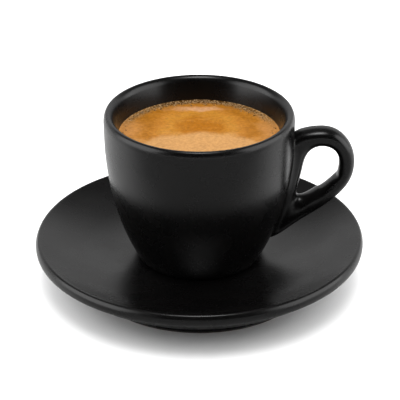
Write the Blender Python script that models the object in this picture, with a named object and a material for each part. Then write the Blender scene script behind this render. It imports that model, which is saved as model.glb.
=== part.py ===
"""Espresso shot in a black stoneware cup on its saucer.

The saucer, the cup with its handle and the drink are three turned solids, each one a
closed body. The origin is on the table under the cup's axis, +Z is up and the handle
points along +X. Sizes below are in millimetres, and the meshes are made in metres.
"""

import math

import bmesh
import bpy
import numpy as np
from mathutils import Vector
from mathutils.geometry import interpolate_bezier

MM = 0.001
SEGMENTS = 60           # round the axis of every turned solid
CLEARANCE = 0.3         # between pieces that touch

# Saucer
SAUCER_RADIUS = 60.3    # where the lip is widest
LIP_HEIGHT = 15.45      # where the lip is widest, above the table
LIP_ROUND = 3.4         # radius of its face, from the crest down
LIP_CREST_ROUND = 1.0
LIP_EDGE_ROUND = 1.3    # radius of its lower edge
LIP_WARP = (0.43, -0.7)  # rise of the lip towards +X and +Y, left by firing
WARP_START = 42.5       # radius from which the saucer is warped
WELL_RADIUS = 25.0      # flat on which the cup stands
WELL_HEIGHT = 9.9
SAUCER_THICKNESS = 4.8
FOOT_RADIUS = 41.8      # outer edge of the foot ring on the table
FOOT_WIDTH = 2.6
FOOT_HEIGHT = 3.3
FOOT_EDGE = 0.5         # bevel of the foot ring's edges

# Cup
CUP_BASE_HEIGHT = WELL_HEIGHT + CLEARANCE
CUP_BASE_RADIUS = 22.7
CUP_BASE_EDGE = 0.5
CUP_RADIUS = 34.0       # of the upright upper wall
CUP_SHOULDER_HEIGHT = 57.3  # where the wall turns upright
CUP_RIM_HEIGHT = 66.66
RIM_RADIUS = 34.1
RIM_OUTER_ROUND = (1.4, 3.0)  # of the outer edge, across and down
RIM_INNER_ROUND = (2.5, 4.2)  # of the inner edge
CUP_FLOOR_HEIGHT = 15.8  # inside, on the axis

# Drink
DRINK_LEVEL = 57.97
DRINK_RADIUS = 28.87    # of the inner wall at that level

# Handle: a flat ring of clay, given as the outline outside it and the outline of its
# finger hole. Each station pairs one point of either outline, (x, z), and a smooth
# closed curve runs near the points, as a subdivision surface does near its cage. The
# ring starts at the outermost point and goes over the top and down along the cup.
HANDLE_OUTLINE = [
    (56.7, 49.4), (53.1, 56.9), (46.8, 61.3), (37.4, 60.1), (32.3, 58.2), (31.6, 46.3),
    (29.0, 31.6), (22.9, 14.2), (28.6, 16.7), (34.8, 22.5), (44.6, 28.6), (55.4, 38.3),
]
HANDLE_HOLE = [
    (49.8, 41.1), (50.9, 48.7), (47.6, 53.4), (41.9, 54.0), (38.0, 49.9), (37.2, 43.3),
    (35.6, 37.4), (35.1, 32.5), (40.2, 34.3), (42.8, 36.6), (44.5, 36.6), (49.2, 41.7),
]
HANDLE_WIDTH = 8.9         # in the middle of its depth
HANDLE_SHOULDER_WIDTH = 8.3
HANDLE_EDGE_WIDTH = 4.0    # of the flat part of its edges
HANDLE_EDGE_SHARE = 0.22   # of its depth that each rounded edge takes
HANDLE_FILLET = 2.4        # where its sides meet the cup's wall
HANDLE_STEPS = 3           # curve points for each station
HANDLE_SIDE_STEPS = 2      # and for each point of the section


def clear_scene():
    for item in list(bpy.data.objects):
        bpy.data.objects.remove(item)


def material(name, colour, roughness):
    made = bpy.data.materials.new(name)
    made.use_nodes = True
    shader = made.node_tree.nodes["Principled BSDF"]
    shader.inputs["Base Color"].default_value = (*colour, 1.0)
    shader.inputs["Roughness"].default_value = roughness
    shader.inputs["Metallic"].default_value = 0.0
    return made


def arc(centre, radius, start, end, steps):
    """Points on an arc from one angle to another, in degrees."""
    angles = np.radians(np.linspace(start, end, steps + 1))
    return [(centre[0] + radius * math.cos(a), centre[1] + radius * math.sin(a)) for a in angles]


def bezier(start, start_handle, end_handle, end, steps):
    """Points on a Bezier curve, without its first point."""
    knots = [Vector((*point, 0.0)) for point in (start, start_handle, end_handle, end)]
    return [(point.x, point.y) for point in interpolate_bezier(*knots, steps + 1)][1:]


def towards(point, angle, distance):
    """Point at a distance from another, in a direction in degrees."""
    turn = math.radians(angle)
    return (point[0] + distance * math.cos(turn), point[1] + distance * math.sin(turn))


def turned(name, outline, finish, shape=None):
    """Turns an outline of (radius, height) points, from axis to axis, into a solid.

    The shape, where given, is a function that moves the turned points.
    """
    shell = bmesh.new()
    points = [shell.verts.new((radius * MM, 0.0, height * MM)) for radius, height in outline]
    edges = [shell.edges.new(pair) for pair in zip(points, points[1:])]
    bmesh.ops.spin(
        shell, geom=points + edges, cent=(0, 0, 0), axis=(0, 0, 1),
        angle=math.tau, steps=SEGMENTS, use_merge=True,
    )
    bmesh.ops.remove_doubles(shell, verts=shell.verts, dist=0.01 * MM)
    if shape:
        for point in shell.verts:
            point.co = shape(point.co / MM) * MM
    bmesh.ops.recalc_face_normals(shell, faces=shell.faces)
    return solid(name, shell, finish)


def solid(name, shell, finish):
    """Makes the object that holds a finished bmesh."""
    mesh = bpy.data.meshes.new(name)
    shell.to_mesh(mesh)
    shell.free()
    mesh.shade_smooth()
    mesh.set_sharp_from_angle(angle=math.radians(40))
    mesh.materials.append(finish)
    made = bpy.data.objects.new(name, mesh)
    bpy.context.scene.collection.objects.link(made)
    return made


def saucer_outline():
    """Well, slope that steepens to the lip, lip, underside and foot ring."""
    face = arc((SAUCER_RADIUS - LIP_ROUND, LIP_HEIGHT), LIP_ROUND, 38, -15, 5)
    crest_centre = towards(face[0], 38, -LIP_CREST_ROUND)
    crest = arc(crest_centre, LIP_CREST_ROUND, 116, 38, 3)[:-1]
    edge_centre = towards(face[-1], -15, -LIP_EDGE_ROUND)
    edge = arc(edge_centre, LIP_EDGE_ROUND, -15, -60, 2)[1:]
    slope = bezier(
        (WELL_RADIUS, WELL_HEIGHT), (WELL_RADIUS + 11.1, WELL_HEIGHT),
        (crest[0][0] - 11.1, crest[0][1] - 5.4), crest[0], 7,
    )[:-1]
    lip = slope + crest + face + edge
    foot_top = (FOOT_RADIUS + 1.6, FOOT_HEIGHT)
    underside = bezier(
        lip[-1], (lip[-1][0] - 5.0, lip[-1][1] - 3.9),
        (foot_top[0] + 4.0, foot_top[1] + 1.6), foot_top, 4,
    )
    foot = [
        (FOOT_RADIUS + 0.4, FOOT_HEIGHT - 1.0),
        (FOOT_RADIUS, FOOT_EDGE),
        (FOOT_RADIUS - FOOT_EDGE, 0.0),
        (FOOT_RADIUS - FOOT_WIDTH + FOOT_EDGE, 0.0),
        (FOOT_RADIUS - FOOT_WIDTH, FOOT_EDGE),
    ]
    ceiling = WELL_HEIGHT - SAUCER_THICKNESS
    recess = [
        (FOOT_RADIUS - FOOT_WIDTH - 0.8, ceiling - 1.0),
        (FOOT_RADIUS - FOOT_WIDTH - 2.0, ceiling),
        (0.0, ceiling),
    ]
    return [(0.0, WELL_HEIGHT), (WELL_RADIUS, WELL_HEIGHT)] + lip + underside + foot + recess


def warped(point):
    """Lifts a point of the saucer outside its foot ring, by the warp of its lip."""
    share = min(max((point.xy.length - WARP_START) / (SAUCER_RADIUS - WARP_START), 0.0), 1.0)
    rise = (point.x * LIP_WARP[0] + point.y * LIP_WARP[1]) / SAUCER_RADIUS
    return point + Vector((0.0, 0.0, rise * share**2 * (3 - 2 * share)))


def cup_wall():
    """Outer wall from the base's edge to the shoulder, a cone that turns upright."""
    start = (CUP_BASE_RADIUS, CUP_BASE_HEIGHT + CUP_BASE_EDGE)
    shoulder = (CUP_RADIUS, CUP_SHOULDER_HEIGHT)
    rise = 16.7
    flare = 9.3
    return [start] + bezier(
        start, (start[0] + flare, start[1] + rise),
        (CUP_RADIUS, CUP_SHOULDER_HEIGHT - 9.65), shoulder, 11,
    )


def cup_radius(height):
    """Radius of the outer wall at a height."""
    radii, heights = zip(*cup_wall())
    return float(np.interp(height, heights, radii))


def cup_hollow():
    """Inner wall from the drink's level down to the floor on the axis."""
    return [(DRINK_RADIUS, DRINK_LEVEL)] + bezier(
        (DRINK_RADIUS, DRINK_LEVEL), (DRINK_RADIUS - 5.6, DRINK_LEVEL - 24.0),
        (17.0, CUP_FLOOR_HEIGHT), (0.0, CUP_FLOOR_HEIGHT), 9,
    )


def rim_edge(crest_radius, size, start, end, steps):
    """Part of an ellipse, its size across and down, that has its top at the rim's crest."""
    across, down = size
    return [
        (crest_radius + across * x, CUP_RIM_HEIGHT - down + down * z)
        for x, z in arc((0.0, 0.0), 1.0, start, end, steps)
    ]


def cup_outline():
    """Base, outer wall, rim with its rounded edges, and the hollow inside."""
    base = [(0.0, CUP_BASE_HEIGHT), (CUP_BASE_RADIUS - CUP_BASE_EDGE, CUP_BASE_HEIGHT)]
    crest_radius = RIM_RADIUS - RIM_OUTER_ROUND[0]
    outer_edge = rim_edge(crest_radius, RIM_OUTER_ROUND, 0, 90, 4)
    inner_edge = rim_edge(crest_radius, RIM_INNER_ROUND, 90, 150, 4)[1:]
    return base + cup_wall() + outer_edge + inner_edge + cup_hollow()


def drink_outline():
    """The hollow below the level, drawn in by the clearance to the cup."""
    wall = np.array(cup_hollow())
    along = np.gradient(wall, axis=0)
    inwards = np.column_stack([along[:, 1], -along[:, 0]])
    inwards /= np.linalg.norm(inwards, axis=1)[:, None]
    side = wall + inwards * CLEARANCE
    side[0, 1] = DRINK_LEVEL
    side[-1] = (0.0, CUP_FLOOR_HEIGHT + CLEARANCE)
    return [(0.0, DRINK_LEVEL)] + [tuple(point) for point in side]


def smoothed(cage, steps):
    """Closed uniform cubic B-spline near the points of a cage, as an array."""
    cage = np.asarray(cage, dtype=float)
    points = []
    for i in range(len(cage)):
        near = [cage[(i + j) % len(cage)] for j in (-1, 0, 1, 2)]
        for t in np.arange(steps) / steps:
            weights = (
                (1 - t) ** 3 / 6,
                (3 * t**3 - 6 * t**2 + 4) / 6,
                (-3 * t**3 + 3 * t**2 + 3 * t + 1) / 6,
                t**3 / 6,
            )
            points.append(sum(weight * point for weight, point in zip(weights, near)))
    return np.array(points)


def handle_section():
    """Section of the handle: share of its depth from hole to outline, and sideways place."""
    half = HANDLE_WIDTH / 2
    shoulder = HANDLE_SHOULDER_WIDTH / 2
    flat = HANDLE_EDGE_WIDTH / 2
    share = HANDLE_EDGE_SHARE
    one_side = [(0, flat), (share, shoulder), (0.5, half), (1 - share, shoulder), (1, flat)]
    other_side = [(depth, -side) for depth, side in reversed(one_side)]
    return smoothed(one_side + other_side, HANDLE_SIDE_STEPS)


def swept_aside(x, y, z):
    """Point of the handle, carried round the cup where the fillet spreads its sides."""
    out = math.hypot(x, y)
    gap = min(max(out - cup_radius(z), 0.0), HANDLE_FILLET)
    spread = HANDLE_FILLET - math.sqrt(HANDLE_FILLET**2 - (HANDLE_FILLET - gap) ** 2)
    side = max(-1.0, min(1.0, 2 * y / HANDLE_WIDTH))
    angle = math.atan2(y, x) + side * spread / out
    return Vector((out * math.cos(angle), out * math.sin(angle), z)) * MM


def handle(finish):
    """Ring of sections through the paired points of outline and hole."""
    outline = smoothed(HANDLE_OUTLINE, HANDLE_STEPS)
    hole = smoothed(HANDLE_HOLE, HANDLE_STEPS)
    section = handle_section()
    shell = bmesh.new()
    rings = []
    for outer, inner in zip(outline, hole):
        ring = []
        for depth, side in section:
            x, z = inner + depth * (outer - inner)
            ring.append(shell.verts.new(swept_aside(x, side, z)))
        rings.append(ring)
    for i, ring in enumerate(rings):
        after = rings[(i + 1) % len(rings)]
        for j in range(len(ring)):
            k = (j + 1) % len(ring)
            shell.faces.new((ring[j], ring[k], after[k], after[j]))
    bmesh.ops.recalc_face_normals(shell, faces=shell.faces)
    return solid("handle", shell, finish)


def joined(body, piece):
    """Fuses a piece into a body with one Boolean union, and removes the piece."""
    union = body.modifiers.new("union", "BOOLEAN")
    union.operation = "UNION"
    union.solver = "EXACT"
    union.object = piece
    view = bpy.context.evaluated_depsgraph_get()
    fused = bpy.data.meshes.new_from_object(body.evaluated_get(view))
    fused.name = body.name
    body.modifiers.clear()
    body.data = fused
    bpy.data.objects.remove(piece)
    return body


def build():
    clear_scene()
    glaze = material("black_satin_glaze", (0.012, 0.012, 0.013), 0.35)
    crema = material("espresso_crema", (0.51, 0.24, 0.06), 0.45)
    turned("saucer", saucer_outline(), glaze, warped)
    cup = turned("cup", cup_outline(), glaze)
    joined(cup, handle(glaze))
    turned("espresso", drink_outline(), crema)


build()
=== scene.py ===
"""Espresso shot in its black stoneware cup on the matching saucer, dressed for the studio.

The saucer comes first, then the cup and its handle, the coffee and its crema, and last the
table, the light and the camera. Sizes are in millimetres and the meshes are in metres.
"""

import math
import random

import bmesh
import bpy
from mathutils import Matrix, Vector
from mathutils.geometry import interpolate_bezier


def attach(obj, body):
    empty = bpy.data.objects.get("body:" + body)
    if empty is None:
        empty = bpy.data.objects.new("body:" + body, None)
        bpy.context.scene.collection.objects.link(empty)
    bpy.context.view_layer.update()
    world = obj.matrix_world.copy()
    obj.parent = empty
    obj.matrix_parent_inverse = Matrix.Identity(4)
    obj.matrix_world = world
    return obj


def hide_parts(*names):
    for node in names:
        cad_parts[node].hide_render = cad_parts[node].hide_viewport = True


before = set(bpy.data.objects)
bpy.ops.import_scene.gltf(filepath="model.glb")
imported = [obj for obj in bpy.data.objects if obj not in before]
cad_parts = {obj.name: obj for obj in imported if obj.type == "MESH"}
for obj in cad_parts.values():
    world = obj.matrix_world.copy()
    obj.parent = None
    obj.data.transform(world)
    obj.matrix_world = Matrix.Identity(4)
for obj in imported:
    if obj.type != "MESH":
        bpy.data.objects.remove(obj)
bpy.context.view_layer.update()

# Saucer: stoneware, jiggered on a wheel as one disc with a flat well and a slope that rises
# to a soft-edged lip. It is dipped in black satin glaze, and the foot ring it stands on in
# the kiln is wiped clean, so a narrow ring of bare clay shows from below.
MM = 0.001
TURNING_STEPS = 192

SAUCER_RADIUS = 60.3
LIP_HEIGHT = 15.45
LIP_ROUND = 3.4
LIP_CREST_ROUND = 1.0
LIP_EDGE_ROUND = 1.3
LIP_WARP = (0.43, -0.7)
WARP_START = 42.5
WELL_RADIUS = 25.0
WELL_HEIGHT = 9.9
SAUCER_THICKNESS = 4.8
SLOPE_PULL = (11.1, 5.4)
FOOT_RADIUS = 41.8
FOOT_WIDTH = 2.6
FOOT_HEIGHT = 3.3
FOOT_FLARE = 1.6
FOOT_EDGE = 0.5
RECESS_ROUND = (2.0, 1.0)


def linear(hex_colour):
    """Turns an sRGB hex colour into the linear colour that a socket takes."""
    parts = [int(hex_colour[i:i + 2], 16) / 255 for i in (1, 3, 5)]
    return (*[p / 12.92 if p <= 0.04045 else ((p + 0.055) / 1.055) ** 2.4 for p in parts], 1.0)


def add(tree, kind, settings=None, links=None):
    """Adds a node with its settings, which are properties or sockets, and its links."""
    node = tree.nodes.new(kind)
    for name, value in (settings or {}).items():
        if isinstance(name, int) or name in node.inputs:
            node.inputs[name].default_value = value
        else:
            setattr(node, name, value)
    for name, source in (links or {}).items():
        tree.links.new(source, node.inputs[name])
    return node


def new_finish(name):
    """Starts a material, and returns it with its node tree and its shader."""
    finish = bpy.data.materials.new(name)
    finish.use_nodes = True
    return finish, finish.node_tree, finish.node_tree.nodes["Principled BSDF"]


def arc(centre, radius, start, end, steps):
    """Profile points on an arc from one angle to another, in degrees."""
    angles = [math.radians(start + (end - start) * i / steps) for i in range(steps + 1)]
    return [(centre[0] + radius * math.cos(a), centre[1] + radius * math.sin(a)) for a in angles]


def bezier(start, start_handle, end_handle, end, steps):
    """Profile points on a Bezier curve, without its first point."""
    knots = [Vector((*point, 0.0)) for point in (start, start_handle, end_handle, end)]
    return [(point.x, point.y) for point in interpolate_bezier(*knots, steps + 1)][1:]


def towards(point, angle, distance):
    """Profile point at a distance from another, in a direction in degrees."""
    turn = math.radians(angle)
    return (point[0] + distance * math.cos(turn), point[1] + distance * math.sin(turn))


def turned(outline):
    """Turns a profile of (radius, height) points round the axis, as a wheel does."""
    shell = bmesh.new()
    points = [shell.verts.new((radius * MM, 0.0, height * MM)) for radius, height in outline]
    line = [shell.edges.new(pair) for pair in zip(points, points[1:])]
    bmesh.ops.spin(
        shell, geom=points + line, cent=(0, 0, 0), axis=(0, 0, 1),
        angle=math.tau, steps=TURNING_STEPS, use_merge=True,
    )
    bmesh.ops.remove_doubles(shell, verts=shell.verts, dist=0.002 * MM)
    bmesh.ops.recalc_face_normals(shell, faces=shell.faces)
    return shell


def finished(name, shell, node, slot, *finishes, crease=38):
    """Makes the piece from its mesh, smooth but for its creases, in place of its CAD node."""
    mesh = bpy.data.meshes.new(name)
    shell.to_mesh(mesh)
    shell.free()
    mesh.shade_smooth()
    mesh.set_sharp_from_angle(angle=math.radians(crease))
    for finish in finishes:
        mesh.materials.append(finish)
    piece = bpy.data.objects.new(name, mesh)
    bpy.context.scene.collection.objects.link(piece)
    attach(piece, "root")
    if node:
        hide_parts(node)
    return piece


# Satin black glaze, dipped and fired: nearly black, with a soft even shine. Its crystals
# leave the shine a little cloudy over 9 mm, and a skin of dimples about 1 mm apart.
satin_glaze, tree, shader = new_finish("satin_black_glaze")
place = add(tree, "ShaderNodeTexCoord").outputs["Object"]
cloud = add(tree, "ShaderNodeTexNoise", {"Scale": 1 / (9 * MM), "Detail": 3.0}, {"Vector": place})
tone = add(
    tree, "ShaderNodeMix",
    {"data_type": "RGBA", 6: linear("#030303"), 7: linear("#060505")},
    {0: cloud.outputs["Fac"]},
)
shine = add(
    tree, "ShaderNodeMapRange",
    {"From Min": 0.3, "From Max": 0.7, "To Min": 0.25, "To Max": 0.30},
    {"Value": cloud.outputs["Fac"]},
)
dimples = add(tree, "ShaderNodeTexNoise", {"Scale": 1 / (1.1 * MM), "Detail": 2.0}, {"Vector": place})
skin = add(
    tree, "ShaderNodeBump", {"Strength": 0.05, "Distance": 0.05 * MM},
    {"Height": dimples.outputs["Fac"]},
)
tree.links.new(tone.outputs[2], shader.inputs["Base Color"])
tree.links.new(shine.outputs["Result"], shader.inputs["Roughness"])
tree.links.new(skin.outputs["Normal"], shader.inputs["Normal"])
shader.inputs["IOR"].default_value = 1.5

# Bare fired stoneware, sponged clean of glaze: a dark grey-brown clay body with fine sand
# in it, about 0.4 mm across, quite matt.
bare_clay, tree, shader = new_finish("bare_stoneware")
place = add(tree, "ShaderNodeTexCoord").outputs["Object"]
sand = add(tree, "ShaderNodeTexNoise", {"Scale": 1 / (0.4 * MM), "Detail": 4.0}, {"Vector": place})
tone = add(
    tree, "ShaderNodeMix",
    {"data_type": "RGBA", 6: linear("#4a423c"), 7: linear("#7b6f65")},
    {0: sand.outputs["Fac"]},
)
grit = add(
    tree, "ShaderNodeBump", {"Strength": 0.5, "Distance": 0.1 * MM},
    {"Height": sand.outputs["Fac"]},
)
tree.links.new(tone.outputs[2], shader.inputs["Base Color"])
tree.links.new(grit.outputs["Normal"], shader.inputs["Normal"])
shader.inputs["Roughness"].default_value = 0.9

face = arc((SAUCER_RADIUS - LIP_ROUND, LIP_HEIGHT), LIP_ROUND, 38, -15, 16)
crest = arc(towards(face[0], 38, -LIP_CREST_ROUND), LIP_CREST_ROUND, 116, 38, 10)[:-1]
edge = arc(towards(face[-1], -15, -LIP_EDGE_ROUND), LIP_EDGE_ROUND, -15, -60, 6)[1:]
foot_top = (FOOT_RADIUS + FOOT_FLARE, FOOT_HEIGHT)
saucer_ceiling = WELL_HEIGHT - SAUCER_THICKNESS
saucer_shell = turned(
    [(0.0, WELL_HEIGHT), (WELL_RADIUS, WELL_HEIGHT)]
    + bezier(
        (WELL_RADIUS, WELL_HEIGHT), (WELL_RADIUS + SLOPE_PULL[0], WELL_HEIGHT),
        (crest[0][0] - SLOPE_PULL[0], crest[0][1] - SLOPE_PULL[1]), crest[0], 28,
    )[:-1]
    + crest
    + face
    + edge
    + bezier(
        edge[-1], (edge[-1][0] - 5.0, edge[-1][1] - 3.9),
        (foot_top[0] + 4.0, foot_top[1] + 1.6), foot_top, 12,
    )
    + [
        (FOOT_RADIUS + 0.4, FOOT_HEIGHT - 1.0),
        (FOOT_RADIUS, FOOT_EDGE),
        (FOOT_RADIUS - FOOT_EDGE, 0.0),
        (FOOT_RADIUS - FOOT_WIDTH + FOOT_EDGE, 0.0),
        (FOOT_RADIUS - FOOT_WIDTH, FOOT_EDGE),
        (FOOT_RADIUS - FOOT_WIDTH - 0.8, saucer_ceiling - RECESS_ROUND[1]),
        (FOOT_RADIUS - FOOT_WIDTH - RECESS_ROUND[0], saucer_ceiling),
        (0.0, saucer_ceiling),
    ]
)
for ring_face in saucer_shell.faces:
    if ring_face.calc_center_median().z < FOOT_EDGE * MM:
        ring_face.material_index = 1

# Firing has warped the saucer a little, outside its foot ring.
for point in saucer_shell.verts:
    share = (point.co.xy.length / MM - WARP_START) / (SAUCER_RADIUS - WARP_START)
    share = min(max(share, 0.0), 1.0)
    rise = (point.co.x * LIP_WARP[0] + point.co.y * LIP_WARP[1]) / SAUCER_RADIUS
    point.co.z += rise * share**2 * (3 - 2 * share)
finished("glazed_saucer", saucer_shell, "saucer", "black_glaze", satin_glaze, bare_clay)

# Cup: thick stoneware, thrown and turned, a cone that comes upright near the rim. The edge
# of its rim is rounded with a sponge. It has the same satin black glaze, inside and out.
CUP_BASE_HEIGHT = 10.2
CUP_BASE_RADIUS = 22.7
CUP_BASE_EDGE = 0.5
CUP_RADIUS = 34.0
CUP_SHOULDER_HEIGHT = 57.3
CUP_FLARE = (9.3, 16.7)
CUP_SHOULDER_PULL = 9.65
CUP_RIM_HEIGHT = 66.66
RIM_RADIUS = 34.1
RIM_OUTER_ROUND = (1.4, 3.0)
RIM_INNER_ROUND = (2.5, 4.2)
CUP_FLOOR_HEIGHT = 15.8
HOLLOW_SIDE_PULL = (5.6, 24.0)
HOLLOW_FLOOR_PULL = 17.0
DRINK_LEVEL = 57.97
DRINK_RADIUS = 28.87

wall_foot = (CUP_BASE_RADIUS, CUP_BASE_HEIGHT + CUP_BASE_EDGE)
outer_wall = [wall_foot] + bezier(
    wall_foot, (wall_foot[0] + CUP_FLARE[0], wall_foot[1] + CUP_FLARE[1]),
    (CUP_RADIUS, CUP_SHOULDER_HEIGHT - CUP_SHOULDER_PULL),
    (CUP_RADIUS, CUP_SHOULDER_HEIGHT), 40,
)
inner_wall = [(DRINK_RADIUS, DRINK_LEVEL)] + bezier(
    (DRINK_RADIUS, DRINK_LEVEL),
    (DRINK_RADIUS - HOLLOW_SIDE_PULL[0], DRINK_LEVEL - HOLLOW_SIDE_PULL[1]),
    (HOLLOW_FLOOR_PULL, CUP_FLOOR_HEIGHT), (0.0, CUP_FLOOR_HEIGHT), 20,
)


def rim_edge(size, start, end):
    """Part of an ellipse, its size across and down, that has its top at the rim's crest."""
    return [
        (
            RIM_RADIUS - RIM_OUTER_ROUND[0] + size[0] * x,
            CUP_RIM_HEIGHT - size[1] + size[1] * z,
        )
        for x, z in arc((0.0, 0.0), 1.0, start, end, 12)
    ]


cup_shell = turned(
    [(0.0, CUP_BASE_HEIGHT), (CUP_BASE_RADIUS - CUP_BASE_EDGE, CUP_BASE_HEIGHT)]
    + outer_wall
    + rim_edge(RIM_OUTER_ROUND, 0, 90)
    + rim_edge(RIM_INNER_ROUND, 90, 150)[1:]
    + inner_wall
)

# Handle: a flat ring of clay, cut and pressed, then luted to the wall with slip and smoothed
# with a wet finger, which leaves a fillet. It is modelled as a cage of twelve sections that
# a subdivision surface rounds.
HANDLE_OUTLINE = [
    (56.7, 49.4), (53.1, 56.9), (46.8, 61.3), (37.4, 60.1), (32.3, 58.2), (31.6, 46.3),
    (29.0, 31.6), (22.9, 14.2), (28.6, 16.7), (34.8, 22.5), (44.6, 28.6), (55.4, 38.3),
]
FINGER_HOLE = [
    (49.8, 41.1), (50.9, 48.7), (47.6, 53.4), (41.9, 54.0), (38.0, 49.9), (37.2, 43.3),
    (35.6, 37.4), (35.1, 32.5), (40.2, 34.3), (42.8, 36.6), (44.5, 36.6), (49.2, 41.7),
]
HANDLE_WIDTH = 8.9
HANDLE_SHOULDER_WIDTH = 8.3
HANDLE_EDGE_WIDTH = 4.0
HANDLE_EDGE_SHARE = 0.22
HANDLE_FILLET = 2.4
HANDLE_ROUNDING = 4

handle_shell = bmesh.new()
sections = []
for outer, inner in zip(HANDLE_OUTLINE, FINGER_HOLE):
    side = [
        (0.0, HANDLE_EDGE_WIDTH / 2),
        (HANDLE_EDGE_SHARE, HANDLE_SHOULDER_WIDTH / 2),
        (0.5, HANDLE_WIDTH / 2),
        (1 - HANDLE_EDGE_SHARE, HANDLE_SHOULDER_WIDTH / 2),
        (1.0, HANDLE_EDGE_WIDTH / 2),
    ]
    corners = [
        handle_shell.verts.new((
            (inner[0] + depth * (outer[0] - inner[0])) * MM, y * MM,
            (inner[1] + depth * (outer[1] - inner[1])) * MM,
        ))
        for depth, y in side + [(depth, -y) for depth, y in reversed(side)]
    ]
    sections.append([handle_shell.edges.new(pair) for pair in zip(corners, corners[1:] + corners[:1])])
for section, after in zip(sections, sections[1:] + sections[:1]):
    bmesh.ops.bridge_loops(handle_shell, edges=section + after)
bmesh.ops.recalc_face_normals(handle_shell, faces=handle_shell.faces)

cage_mesh = bpy.data.meshes.new("handle_cage")
handle_shell.to_mesh(cage_mesh)
handle_shell.free()
cage = bpy.data.objects.new("handle_cage", cage_mesh)
bpy.context.scene.collection.objects.link(cage)
rounding = cage.modifiers.new("rounding", "SUBSURF")
rounding.levels = rounding.render_levels = HANDLE_ROUNDING
rounded = bpy.data.meshes.new_from_object(cage.evaluated_get(bpy.context.evaluated_depsgraph_get()))


def wall_radius(height):
    """Radius of the cup's outer wall at a height, in millimetres."""
    for (r0, z0), (r1, z1) in zip(outer_wall, outer_wall[1:]):
        if z0 <= height <= z1:
            return r0 + (r1 - r0) * (height - z0) / (z1 - z0)
    return CUP_RADIUS if height > CUP_SHOULDER_HEIGHT else CUP_BASE_RADIUS


for vertex in rounded.vertices:
    x, y, z = vertex.co / MM
    reach = math.hypot(x, y)
    gap = min(max(reach - wall_radius(z), 0.0), HANDLE_FILLET)
    spread = HANDLE_FILLET - math.sqrt(HANDLE_FILLET**2 - (HANDLE_FILLET - gap) ** 2)
    angle = math.atan2(y, x) + 2 * y / HANDLE_WIDTH * spread / reach
    vertex.co = Vector((reach * math.cos(angle), reach * math.sin(angle), z)) * MM
cage.modifiers.clear()
cage.data = rounded

cup = finished("glazed_cup", cup_shell, "cup", "black_glaze", satin_glaze)
luting = cup.modifiers.new("luting", "BOOLEAN")
luting.operation = "UNION"
luting.solver = "EXACT"
luting.object = cage
luted = bpy.data.meshes.new_from_object(cup.evaluated_get(bpy.context.evaluated_depsgraph_get()))
cup.modifiers.clear()
cup.data = luted
bpy.data.objects.remove(cage)
luted.shade_smooth()
luted.set_sharp_from_angle(angle=math.radians(50))

# Coffee: the espresso fills the cup up to 9 mm under the rim, and what shows is its crema,
# a fine foam of coffee oils. It clings to the wall all round, so its edge turns up a little.
DRINK_OVERLAP = 0.25
MENISCUS = 0.7
SWIRL_WIDTH = 6.0
SWIRL_REACH = (14.0, 8.0)
EYE_BEHIND_MIDDLE = 6.5
EYE_RINGS_REACH = 28.0
STREAK_SIZE = (9.0, 1.6)
# Front: paler foam, part of its paleness a painted reflection of the room.
FRONT_FOAM_AND_REFLECTION_CENTRE = -38.8
FRONT_FOAM_AND_REFLECTION_EDGE = (36.5, 41.5)
BACK_BAND_PLACE = 21.0
BACK_BAND_SIZE = (13.0, 2.6)
# Ends: pinkish foam, lightened further by painted light over the wall's shade.
END_FOAM_AND_LIGHT_EDGE = (19.0, 27.0)
FROTH_EDGE = (24.5, 27.5)
FROTH_BUBBLE = 0.7
CREAM_LINE_EDGE = (27.9, 28.8)
FOAM_GRAIN = 1.1

# Crema: wet foam of coffee oils, golden brown. The last of the shot fell a little behind the
# middle and left a dark gold eye with a pale ring; lighter foam has drifted to the front and
# to a band at the back, where fine bubbles stand brown along the wall. The paler front is
# partly a painted reflection of the room, and painted light brightens both ends.
crema_foam, tree, shader = new_finish("crema_foam")
place = add(tree, "ShaderNodeTexCoord").outputs["Object"]
drift = add(
    tree, "ShaderNodeTexNoise", {"Scale": 1 / (SWIRL_WIDTH * MM), "Detail": 5.0},
    {"Vector": place},
)
swirl_reach = Vector((*SWIRL_REACH, 0.0)) * MM
sway = add(
    tree, "ShaderNodeVectorMath",
    {"operation": "MULTIPLY_ADD", 1: swirl_reach, 2: -swirl_reach / 2},
    {0: drift.outputs["Color"]},
)
swirled = add(
    tree, "ShaderNodeVectorMath", {"operation": "ADD"},
    {0: place, 1: sway.outputs["Vector"]},
).outputs["Vector"]
level = add(
    tree, "ShaderNodeVectorMath", {"operation": "MULTIPLY", 1: (1.0, 1.0, 0.0)},
    {0: swirled},
).outputs["Vector"]
eye_distance = add(
    tree, "ShaderNodeVectorMath",
    {"operation": "DISTANCE", 1: (0.0, EYE_BEHIND_MIDDLE * MM, 0.0)},
    {0: level},
)
eye_reach = add(
    tree, "ShaderNodeMapRange", {"From Min": 0.0, "From Max": EYE_RINGS_REACH * MM},
    {"Value": eye_distance.outputs["Value"]},
)
rings = add(tree, "ShaderNodeValToRGB", {}, {"Fac": eye_reach.outputs["Result"]})
ring_tones = rings.color_ramp.elements
ring_tones[0].position, ring_tones[0].color = 0.06, linear("#865002")
ring_tones[1].position, ring_tones[1].color = 0.95, linear("#93601f")
for reach, colour in ((0.22, "#88530a"), (0.42, "#966520"), (0.54, "#925e1d"), (0.68, "#845211")):
    ring_tones.new(reach).color = linear(colour)

# Streaks drawn out sideways as the cup was set down.
streaks = add(
    tree, "ShaderNodeMapping",
    {"Scale": (1 / (STREAK_SIZE[0] * MM), 1 / (STREAK_SIZE[1] * MM), 1.0)},
    {"Vector": swirled},
)
streak = add(
    tree, "ShaderNodeTexNoise", {"Scale": 1.0, "Detail": 4.0},
    {"Vector": streaks.outputs["Vector"]},
)
streak_share = add(
    tree, "ShaderNodeMapRange", {"From Min": 0.5, "From Max": 0.8, "To Max": 0.5},
    {"Value": streak.outputs["Fac"]},
)
tone = add(
    tree, "ShaderNodeMix", {"data_type": "RGBA", 7: linear("#a27236")},
    {0: streak_share.outputs["Result"], 6: rings.outputs["Color"]},
)
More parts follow.
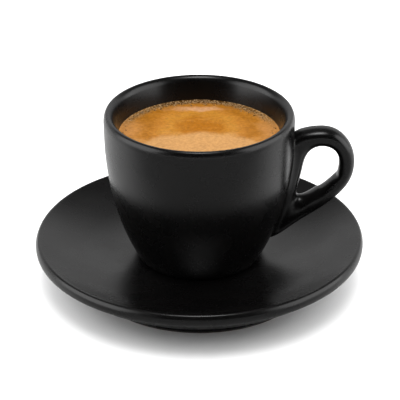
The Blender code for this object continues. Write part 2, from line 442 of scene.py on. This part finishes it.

# Paler foam, by how far each place is inside its drift: the front, whose paleness is partly a
# painted reflection of the room on the wet foam, and a band at the back.
front_distance = add(
    tree, "ShaderNodeVectorMath",
    {"operation": "DISTANCE", 1: (0.0, FRONT_FOAM_AND_REFLECTION_CENTRE * MM, 0.0)},
    {0: level},
)
front_foam_and_reflection_share = add(
    tree, "ShaderNodeMapRange",
    {
        "interpolation_type": "SMOOTHSTEP", "To Min": 0.85, "To Max": 0.0,
        "From Min": FRONT_FOAM_AND_REFLECTION_EDGE[0] * MM, "From Max": FRONT_FOAM_AND_REFLECTION_EDGE[1] * MM,
    },
    {"Value": front_distance.outputs["Value"]},
)
tone = add(
    tree, "ShaderNodeMix", {"data_type": "RGBA", 7: linear("#a47b4c")},
    {0: front_foam_and_reflection_share.outputs["Result"], 6: tone.outputs[2]},
)
band = add(
    tree, "ShaderNodeMapping",
    {
        "Location": (0.0, -BACK_BAND_PLACE / BACK_BAND_SIZE[1], 0.0),
        "Scale": (1 / (BACK_BAND_SIZE[0] * MM), 1 / (BACK_BAND_SIZE[1] * MM), 0.0),
    },
    {"Vector": swirled},
)
band_distance = add(
    tree, "ShaderNodeVectorMath", {"operation": "LENGTH"},
    {0: band.outputs["Vector"]},
)
band_share = add(
    tree, "ShaderNodeMapRange",
    {
        "interpolation_type": "SMOOTHSTEP", "To Min": 0.9, "To Max": 0.0,
        "From Min": 0.2, "From Max": 1.15,
    },
    {"Value": band_distance.outputs["Value"]},
)
tone = add(
    tree, "ShaderNodeMix", {"data_type": "RGBA", 7: linear("#a67c58")},
    {0: band_share.outputs["Result"], 6: tone.outputs[2]},
)

# Pinkish foam has also gathered at both ends, towards the handle and away from it, and painted
# light there lifts the shade that the cup wall casts on them.
axes = add(tree, "ShaderNodeSeparateXYZ", links={"Vector": level})
aside = add(tree, "ShaderNodeMath", {"operation": "ABSOLUTE"}, {0: axes.outputs["X"]})
end_foam_and_light_share = add(
    tree, "ShaderNodeMapRange",
    {
        "interpolation_type": "SMOOTHSTEP", "To Max": 0.6,
        "From Min": END_FOAM_AND_LIGHT_EDGE[0] * MM, "From Max": END_FOAM_AND_LIGHT_EDGE[1] * MM,
    },
    {"Value": aside.outputs["Value"]},
)
tone = add(
    tree, "ShaderNodeMix", {"data_type": "RGBA", 7: linear("#a47342")},
    {0: end_foam_and_light_share.outputs["Result"], 6: tone.outputs[2]},
)

# Froth along the wall at the back: pale bubbles, brown between them where it is thinnest,
# and a thin cream line where the foam clings to the wall at the front.
flat_place = add(
    tree, "ShaderNodeVectorMath", {"operation": "MULTIPLY", 1: (1.0, 1.0, 0.0)},
    {0: place},
)
wall_distance = add(
    tree, "ShaderNodeVectorMath", {"operation": "LENGTH"},
    {0: flat_place.outputs["Vector"]},
)
axes = add(tree, "ShaderNodeSeparateXYZ", links={"Vector": place})
near_wall = add(
    tree, "ShaderNodeMapRange",
    {
        "interpolation_type": "SMOOTHSTEP",
        "From Min": FROTH_EDGE[0] * MM, "From Max": FROTH_EDGE[1] * MM,
    },
    {"Value": wall_distance.outputs["Value"]},
)
at_back = add(
    tree, "ShaderNodeMapRange",
    {
        "interpolation_type": "SMOOTHSTEP", "To Max": 0.95,
        "From Min": 2 * MM, "From Max": 16 * MM,
    },
    {"Value": axes.outputs["Y"]},
)
brown_share = add(
    tree, "ShaderNodeMath", {"operation": "MULTIPLY"},
    {0: near_wall.outputs["Result"], 1: at_back.outputs["Result"]},
)
froth_cells = add(
    tree, "ShaderNodeTexVoronoi", {"Scale": 1 / (FROTH_BUBBLE * MM)},
    {"Vector": place},
)
froth_tone = add(
    tree, "ShaderNodeMapRange", {"From Min": 0.15, "From Max": 0.6},
    {"Value": froth_cells.outputs["Distance"]},
)
thinnest = add(
    tree, "ShaderNodeMapRange",
    {"interpolation_type": "SMOOTHSTEP", "From Min": 20 * MM, "From Max": 27 * MM},
    {"Value": axes.outputs["Y"]},
)
between = add(
    tree, "ShaderNodeMix", {"data_type": "RGBA", 6: linear("#6e4d24"), 7: linear("#3c2506")},
    {0: thinnest.outputs["Result"]},
)
froth_colour = add(
    tree, "ShaderNodeMix", {"data_type": "RGBA", 6: linear("#a08360")},
    {0: froth_tone.outputs["Result"], 7: between.outputs[2]},
)
tone = add(
    tree, "ShaderNodeMix", {"data_type": "RGBA"},
    {0: brown_share.outputs["Value"], 6: tone.outputs[2], 7: froth_colour.outputs[2]},
)
cling = add(
    tree, "ShaderNodeMapRange",
    {
        "interpolation_type": "SMOOTHSTEP",
        "From Min": CREAM_LINE_EDGE[0] * MM, "From Max": CREAM_LINE_EDGE[1] * MM,
    },
    {"Value": wall_distance.outputs["Value"]},
)
at_front = add(
    tree, "ShaderNodeMapRange",
    {
        "interpolation_type": "SMOOTHSTEP", "To Min": 0.9, "To Max": 0.0,
        "From Min": -10 * MM, "From Max": 4 * MM,
    },
    {"Value": axes.outputs["Y"]},
)
cream_share = add(
    tree, "ShaderNodeMath", {"operation": "MULTIPLY"},
    {0: cling.outputs["Result"], 1: at_front.outputs["Result"]},
)
tone = add(
    tree, "ShaderNodeMix", {"data_type": "RGBA", 7: linear("#b49a72")},
    {0: cream_share.outputs["Value"], 6: tone.outputs[2]},
)

# Grain of the foam, from 1 mm down to the finest bubbles, which also dimples its skin. It is
# drawn coarser than the real foam, so that it shows.
foam = add(
    tree, "ShaderNodeTexNoise",
    {"Scale": 1 / (FOAM_GRAIN * MM), "Detail": 6.0, "Roughness": 0.75},
    {"Vector": place},
)
grain = add(
    tree, "ShaderNodeMapRange",
    {"From Min": 0.3, "From Max": 0.7, "To Min": 0.72, "To Max": 1.25},
    {"Value": foam.outputs["Fac"]},
)
grained = add(
    tree, "ShaderNodeVectorMath", {"operation": "SCALE"},
    {0: tone.outputs[2], "Scale": grain.outputs["Result"]},
)
froth = add(
    tree, "ShaderNodeBump", {"Strength": 0.2, "Distance": 0.1 * MM},
    {"Height": foam.outputs["Fac"]},
)
tree.links.new(grained.outputs["Vector"], shader.inputs["Base Color"])
tree.links.new(froth.outputs["Normal"], shader.inputs["Normal"])
shader.inputs["Roughness"].default_value = 0.45
shader.inputs["IOR"].default_value = 1.34
shader.inputs["Specular IOR Level"].default_value = 0.08

hidden_side = [(radius + DRINK_OVERLAP, height) for radius, height in inner_wall[1:-1]]
drink_shell = turned(
    [(0.0, DRINK_LEVEL), (DRINK_RADIUS - 2 * MENISCUS, DRINK_LEVEL)]
    + bezier(
        (DRINK_RADIUS - 2 * MENISCUS, DRINK_LEVEL), (DRINK_RADIUS - MENISCUS, DRINK_LEVEL),
        (DRINK_RADIUS, DRINK_LEVEL),
        (DRINK_RADIUS + DRINK_OVERLAP, DRINK_LEVEL + MENISCUS / 2), 6,
    )
    + hidden_side
    + [(0.0, CUP_FLOOR_HEIGHT - DRINK_OVERLAP)]
)
finished("crema", drink_shell, "espresso", "espresso_crema", crema_foam)

# Bubbles: domes of the same foam, up to 0.8 mm wide, that stand along the wall at the back
# and thin out towards the ends. Their film is browner and glossier than the crema.
BUBBLES = 380
BUBBLE_RADIUS = (0.12, 0.42)
BUBBLE_SPREAD = 38
BUBBLE_WALL_GAP = 0.8
BUBBLE_DRIFT = 1.5

bubble_film, tree, shader = new_finish("bubble_film")
place = add(tree, "ShaderNodeTexCoord").outputs["Object"]
film = add(tree, "ShaderNodeTexNoise", {"Scale": 1 / (0.7 * MM), "Detail": 2.0}, {"Vector": place})
film_share = add(
    tree, "ShaderNodeMapRange", {"From Min": 0.4, "From Max": 0.6},
    {"Value": film.outputs["Fac"]},
)
tone = add(
    tree, "ShaderNodeMix",
    {"data_type": "RGBA", 6: linear("#4a3010"), 7: linear("#947650")},
    {0: film_share.outputs["Result"]},
)
tree.links.new(tone.outputs[2], shader.inputs["Base Color"])
shader.inputs["Roughness"].default_value = 0.2
shader.inputs["IOR"].default_value = 1.34

chance = random.Random(5)
bubble_shell = bmesh.new()
for _ in range(BUBBLES):
    smallest, largest = BUBBLE_RADIUS
    size = smallest + (largest - smallest) * chance.random() ** 2
    turn = math.radians(chance.gauss(90, BUBBLE_SPREAD))
    reach = DRINK_RADIUS - BUBBLE_WALL_GAP - abs(chance.gauss(0, BUBBLE_DRIFT))
    dome = bmesh.ops.create_uvsphere(bubble_shell, u_segments=8, v_segments=4, radius=size * MM)
    bmesh.ops.translate(
        bubble_shell, verts=dome["verts"],
        vec=Vector((reach * math.cos(turn), reach * math.sin(turn), DRINK_LEVEL)) * MM,
    )
finished("bubbles", bubble_shell, None, "espresso_crema", bubble_film, crease=180)

# Table: a sheet of matt white board, which shows the set's soft shadow and no gloss.
TABLE_REACH = 3.0

table_shell = bmesh.new()
bmesh.ops.create_grid(table_shell, x_segments=1, y_segments=1, size=TABLE_REACH)
table_mesh = bpy.data.meshes.new("table")
table_shell.to_mesh(table_mesh)
table_shell.free()
table_white, tree, shader = new_finish("white_table")
shader.inputs["Base Color"].default_value = (0.9, 0.9, 0.9, 1.0)
shader.inputs["Roughness"].default_value = 1.0
shader.inputs["Specular IOR Level"].default_value = 0.0
table_mesh.materials.append(table_white)
table = bpy.data.objects.new("table", table_mesh)
bpy.context.scene.collection.objects.link(table)

# Grey card that lies on the table, under the set and before it, and that only the glaze sees.
# It is darker before the set, so that the cup's front stays dark.
CARD_REACH = 1.0
CARD_LIFT = 0.001
CARD_DARK_BEFORE = -90.0

card_shell = bmesh.new()
bmesh.ops.create_grid(card_shell, x_segments=1, y_segments=1, size=CARD_REACH)
bmesh.ops.translate(card_shell, verts=card_shell.verts, vec=(0, 0, CARD_LIFT))
card_mesh = bpy.data.meshes.new("grey_card")
card_shell.to_mesh(card_mesh)
card_shell.free()
card_grey, tree, shader = new_finish("card_grey")
place = add(tree, "ShaderNodeTexCoord").outputs["Object"]
axes = add(tree, "ShaderNodeSeparateXYZ", links={"Vector": place})
paleness = add(
    tree, "ShaderNodeMapRange",
    {
        "interpolation_type": "SMOOTHSTEP", "To Min": 0.16, "To Max": 0.47,
        "From Min": CARD_DARK_BEFORE * MM, "From Max": 0.0,
    },
    {"Value": axes.outputs["Y"]},
)
tree.links.new(paleness.outputs["Result"], shader.inputs["Base Color"])
shader.inputs["Roughness"].default_value = 1.0
shader.inputs["Specular IOR Level"].default_value = 0.0
card_mesh.materials.append(card_grey)
card = bpy.data.objects.new("grey_card", card_mesh)
bpy.context.scene.collection.objects.link(card)
card.visible_camera = False
card.visible_shadow = False
card.visible_diffuse = False

# Light: a white room, dark before the set and brightest some 25 degrees up behind it, which
# the saucer mirrors. The ceiling lights the table evenly, and a softbox overhead and one at
# either side give the glaze its shine.
world = bpy.data.worlds.new("studio")
world.use_nodes = True
bpy.context.scene.world = world
tree = world.node_tree
background = tree.nodes["Background"]
direction = add(tree, "ShaderNodeTexCoord").outputs["Generated"]
axes = add(tree, "ShaderNodeSeparateXYZ", links={"Vector": direction})
behind = add(
    tree, "ShaderNodeMapRange",
    {
        "interpolation_type": "SMOOTHSTEP", "To Min": 0.05, "To Max": 1.0,
        "From Min": -0.1, "From Max": 0.35,
    },
    {"Value": axes.outputs["Y"]},
)
depth = add(tree, "ShaderNodeMath", {"operation": "MAXIMUM", 1: 0.05}, {0: axes.outputs["Y"]})
rise = add(
    tree, "ShaderNodeMath", {"operation": "DIVIDE"},
    {0: axes.outputs["Z"], 1: depth.outputs["Value"]},
)
low = add(tree, "ShaderNodeValToRGB", {}, {"Fac": rise.outputs["Value"]})
low_tones = low.color_ramp.elements
low_tones[0].position, low_tones[0].color = 0.2, (0.5, 0.5, 0.5, 1.0)
low_tones[1].position, low_tones[1].color = 0.95, (0.12, 0.12, 0.12, 1.0)
for height, strength in ((0.32, 0.55), (0.46, 1.0), (0.58, 0.95)):
    low_tones.new(height).color = (strength, strength, strength, 1.0)
room = add(
    tree, "ShaderNodeMath", {"operation": "MULTIPLY"},
    {0: behind.outputs["Result"], 1: low.outputs["Color"]},
)
ray = add(tree, "ShaderNodeLightPath")
seen = add(
    tree, "ShaderNodeMath", {"operation": "MAXIMUM"},
    {0: room.outputs["Value"], 1: ray.outputs["Is Camera Ray"]},
)
tree.links.new(seen.outputs["Value"], background.inputs["Strength"])
background.inputs["Color"].default_value = (1.0, 1.0, 1.0, 1.0)


def softbox(name, azimuth, elevation, spread, radiance):
    """Adds a round distant softbox, spread degrees wide, with azimuth 0 at the front."""
    light = bpy.data.lights.new(name, "SUN")
    light.angle = math.radians(spread)
    light.energy = radiance * math.pi * math.sin(light.angle / 2) ** 2
    lamp = bpy.data.objects.new(name, light)
    to_lamp = Vector((
        math.sin(math.radians(azimuth)) * math.cos(math.radians(elevation)),
        -math.cos(math.radians(azimuth)) * math.cos(math.radians(elevation)),
        math.sin(math.radians(elevation)),
    ))
    lamp.rotation_euler = to_lamp.to_track_quat("Z", "Y").to_euler()
    bpy.context.scene.collection.objects.link(lamp)
    lamp.visible_camera = False
    return lamp


ceiling = softbox("ceiling", 180, 80, 120, 2.05)
ceiling.visible_glossy = False
for name, azimuth, elevation, spread, radiance in (
    ("softbox_overhead", 0, 75, 22, 8.0),
    ("softbox_left", -78, 20, 58, 2.3),
    ("softbox_right", 82, 20, 58, 2.0),
):
    softbox(name, azimuth, elevation, spread, radiance)

# Camera: half a metre away, 28 degrees above the table.
LOOK_AT = Vector((0.0, 0.0, 31.02)) * MM
CAMERA_DISTANCE = 561.7
CAMERA_ELEVATION = math.radians(27.993)
FOCAL_PIXELS = 1536.8
IMAGE_PIXELS = 400
AXIS_PIXEL = 199.26

lens = bpy.data.cameras.new("camera")
lens.sensor_width = 36.0
lens.lens = FOCAL_PIXELS * lens.sensor_width / IMAGE_PIXELS
lens.shift_x = (IMAGE_PIXELS / 2 - AXIS_PIXEL) / IMAGE_PIXELS
lens.clip_start = 0.01
camera = bpy.data.objects.new("camera", lens)
bpy.context.scene.collection.objects.link(camera)
back = Vector((0.0, -math.cos(CAMERA_ELEVATION), math.sin(CAMERA_ELEVATION)))
camera.location = LOOK_AT + back * CAMERA_DISTANCE * MM
camera.rotation_euler = back.to_track_quat("Z", "Y").to_euler()
bpy.context.scene.camera = camera
bpy.context.scene.view_settings.view_transform = "Standard"
